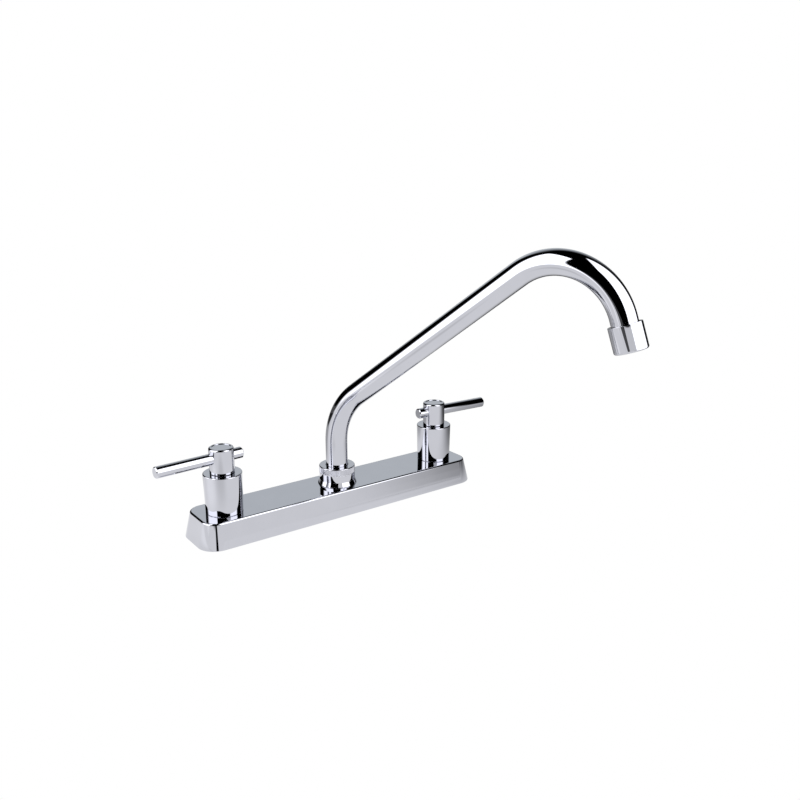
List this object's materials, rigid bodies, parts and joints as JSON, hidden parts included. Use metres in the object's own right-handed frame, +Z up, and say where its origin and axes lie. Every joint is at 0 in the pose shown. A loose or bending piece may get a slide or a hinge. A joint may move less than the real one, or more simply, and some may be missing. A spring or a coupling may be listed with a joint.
{
  "type": "kitchen faucet",
  "caption": "Chrome deck-mounted kitchen faucet: bar levers on quarter-turn valves stand on a long drafted base, and a bent tube spout swivels between them.",
  "frame": {"origin": "middle of the base on the sink deck, where the spout's axis meets the deck", "axes": "+X along the base towards the cold valve, -Y towards the user, +Z up"},
  "size_m": [0.3098, 0.2615, 0.2855],
  "materials": {
    "chrome": "polished plate",
    "brass": "machined",
    "copper": "drawn tube",
    "steel": "plain",
    "ceramic": "lapped",
    "rubber": "moulded",
    "black_plastic": "moulded",
    "white_plastic": "moulded"
  },
  "bodies": {
    "base": {"deck_cover": "chrome", "base_plate": "black_plastic", "spout_post": "brass", "spout_nut": "chrome", "spout_friction_ring": "white_plastic", "mounting_washers": "steel", "mounting_nuts": "black_plastic", "hot_inlet_shank": "brass", "hot_valve_body": "brass", "hot_cross_tube": "copper", "hot_cartridge_housing": "brass", "hot_cartridge_ring": "rubber", "hot_seat_seal": "rubber", "hot_fixed_disc": "ceramic", "hot_thrust_washer": "white_plastic", "hot_bonnet": "chrome", "cold_inlet_shank": "brass", "cold_valve_body": "brass", "cold_cross_tube": "copper", "cold_cartridge_housing": "brass", "cold_cartridge_ring": "rubber", "cold_seat_seal": "rubber", "cold_fixed_disc": "ceramic", "cold_thrust_washer": "white_plastic", "cold_bonnet": "chrome"},
    "hot_handle": {"hot_handle_hub": "chrome", "hot_lever_bar": "chrome", "hot_set_screw": "steel", "hot_stem": "brass", "hot_driven_disc": "ceramic", "hot_stem_rings": "rubber"},
    "cold_handle": {"cold_handle_hub": "chrome", "cold_lever_bar": "chrome", "cold_set_screw": "steel", "cold_stem": "brass", "cold_driven_disc": "ceramic", "cold_stem_rings": "rubber"},
    "spout": {"spout_tube": "chrome", "spout_spigot": "brass", "spout_rings": "rubber", "outlet_nipple": "brass", "aerator_housing": "chrome", "aerator_washer": "rubber", "aerator_insert": "white_plastic", "aerator_screen": "steel"}
  },
  "joints": [
    {"name": "hot_handle_turn", "type": "hinge", "parent": "base", "child": "hot_handle", "pos_m": [-0.1016, 0, 0.0513], "axis": [0, 0, 1], "range_deg": [0, 90]},
    {"name": "cold_handle_turn", "type": "hinge", "parent": "base", "child": "cold_handle", "pos_m": [0.1016, 0, 0.0513], "axis": [0, 0, 1], "range_deg": [-90, 0]},
    {"name": "spout_swivel", "type": "hinge", "parent": "base", "child": "spout", "pos_m": [0, 0, 0.0356], "axis": [0, 0, 1], "continuous": true}
  ]
}
